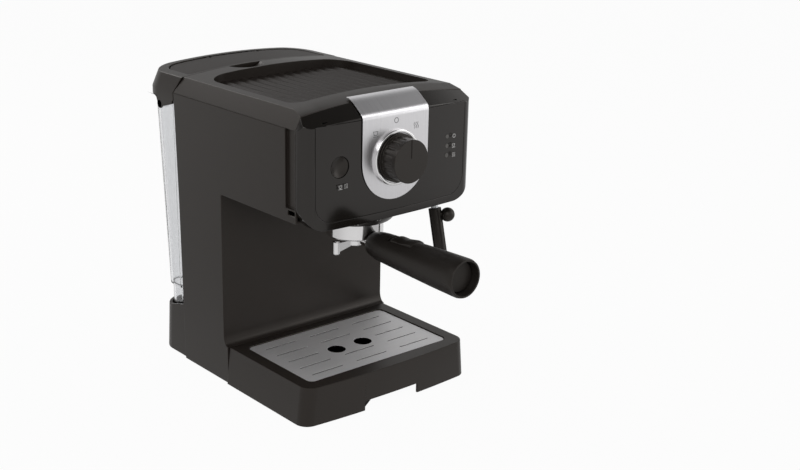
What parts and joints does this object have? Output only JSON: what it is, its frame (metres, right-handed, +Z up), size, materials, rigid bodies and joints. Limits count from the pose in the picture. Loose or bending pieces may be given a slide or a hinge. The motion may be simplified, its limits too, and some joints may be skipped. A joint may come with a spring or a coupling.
{
  "type": "espresso machine",
  "caption": "Pump espresso machine with bayonet filter holder, lift-out water tank, pull-out drip tray, selector knob and swinging steam pipe.",
  "frame": {"origin": "on the counter, at the middle of the machine's footprint box", "axes": "+X to the machine's right as the user faces it, +Y to its back, +Z up; the filter handle points along -Y"},
  "size_m": [0.2074, 0.3748, 0.303],
  "materials": {
    "satin_black": "fine-grained satin moulding",
    "ribbed_black": "matt grained moulding",
    "gloss_black": "piano-black gloss",
    "brushed_steel": "vertically brushed stainless steel",
    "grid_steel": "brushed stainless sheet, grey",
    "base_black": "matt black moulding",
    "rubber_black": "black rubber",
    "clear_tank": "clear styrene, faintly grey",
    "white_plastic": "natural white acetal",
    "chrome": "polished chrome plating",
    "knob_black": "semi-gloss black",
    "zinc_steel": "zinc-plated steel",
    "switch_black": "black nylon",
    "lens_grey": "smoky translucent lens",
    "board_green": "green solder mask",
    "collar_black": "matt black, heat-resistant",
    "cast_aluminium": "die-cast aluminium, as cast",
    "stainless": "pressed stainless steel",
    "ceramic_cream": "ceramic body",
    "brass": "machined brass",
    "copper": "bent copper tube",
    "hose_clear": "milky silicone",
    "handle_black": "satin phenolic black"
  },
  "bodies": {
    "root": {"main_housing": "satin_black", "rear_panel": "satin_black", "top_cover": "satin_black", "cup_tray": "ribbed_black", "head_floor": "satin_black", "front_frame": "gloss_black", "control_panel": "gloss_black", "trim_strip": "brushed_steel", "base_plate": "base_black", "feet": "rubber_black", "tank_socket": "satin_black", "cord_inlet": "base_black", "water_inlet": "white_plastic", "inlet_seal": "rubber_black", "knob_ring": "chrome", "selector_switch": "white_plastic", "button_switch": "switch_black", "indicator_lenses": "lens_grey", "control_board": "board_green", "group_collar": "collar_black", "group_head": "cast_aluminium", "group_gasket": "rubber_black", "shower_screen": "stainless", "screen_screw": "zinc_steel", "boiler_base": "cast_aluminium", "boiler_dome": "cast_aluminium", "boiler_bolts": "zinc_steel", "thermostats": "ceramic_cream", "steam_valve": "brass", "steam_line": "copper", "pump": "zinc_steel", "pump_coil": "switch_black", "pump_mounts": "base_black", "suction_hose": "hose_clear", "pressure_hose": "hose_clear", "pump_bracket": "zinc_steel", "wand_socket": "collar_black", "housing_screws": "zinc_steel"},
    "tank": {"water_tank": "clear_tank", "tank_valve": "white_plastic", "tank_cover": "satin_black"},
    "flap": {"tank_flap": "ribbed_black"},
    "tray": {"drip_tray": "satin_black"},
    "grid": {"drip_grid": "grid_steel"},
    "knob": {"selector_knob": "knob_black", "knob_shaft": "zinc_steel"},
    "button": {"mode_button": "knob_black"},
    "wand": {"steam_wand": "zinc_steel", "wand_sleeve": "handle_black", "wand_grip": "handle_black", "wand_tip": "chrome"},
    "holder": {"filter_holder": "chrome", "filter_basket": "stainless", "twin_spout": "chrome", "handle": "handle_black", "handle_bolt": "zinc_steel", "handle_cap": "handle_black", "clip_pin": "zinc_steel"},
    "clip": {"filter_clip": "handle_black"}
  },
  "joints": [
    {"name": "tank_lift", "type": "slide", "parent": "root", "child": "tank", "axis": [0, 0, 1], "range_m": [0, 0.25]},
    {"name": "flap_hinge", "type": "hinge", "parent": "tank", "child": "flap", "pos_m": [0, 0.1704, 0.3004], "axis": [-1, 0, 0], "range_deg": [0, 100]},
    {"name": "tray_slide", "type": "slide", "parent": "root", "child": "tray", "axis": [0, -1, 0], "range_m": [0, 0.14]},
    {"name": "grid_lift", "type": "slide", "parent": "tray", "child": "grid", "axis": [0, 0, 1], "range_m": [0, 0.06]},
    {"name": "knob_turn", "type": "hinge", "parent": "root", "child": "knob", "pos_m": [0, -0.09, 0.2456], "axis": [0, 1, 0], "range_deg": [-45, 45]},
    {"name": "button_press", "type": "slide", "parent": "root", "child": "button", "axis": [0, 1, 0], "range_m": [0, 0.002], "stiffness_N_per_m": 600, "springref_m": -0.001},
    {"name": "wand_swing", "type": "hinge", "parent": "root", "child": "wand", "pos_m": [0.0736, -0.0636, 0.19], "axis": [0, -1, 0], "range_deg": [0, 30]},
    {"name": "holder_twist", "type": "hinge", "parent": "root", "child": "holder", "pos_m": [0, -0.0338, 0.172], "axis": [0, 0, 1], "range_deg": [-50, 0]},
    {"name": "clip_flip", "type": "hinge", "parent": "holder", "child": "clip", "pos_m": [0, -0.084, 0.171], "axis": [-1, 0, 0], "range_deg": [0, 40]}
  ]
}
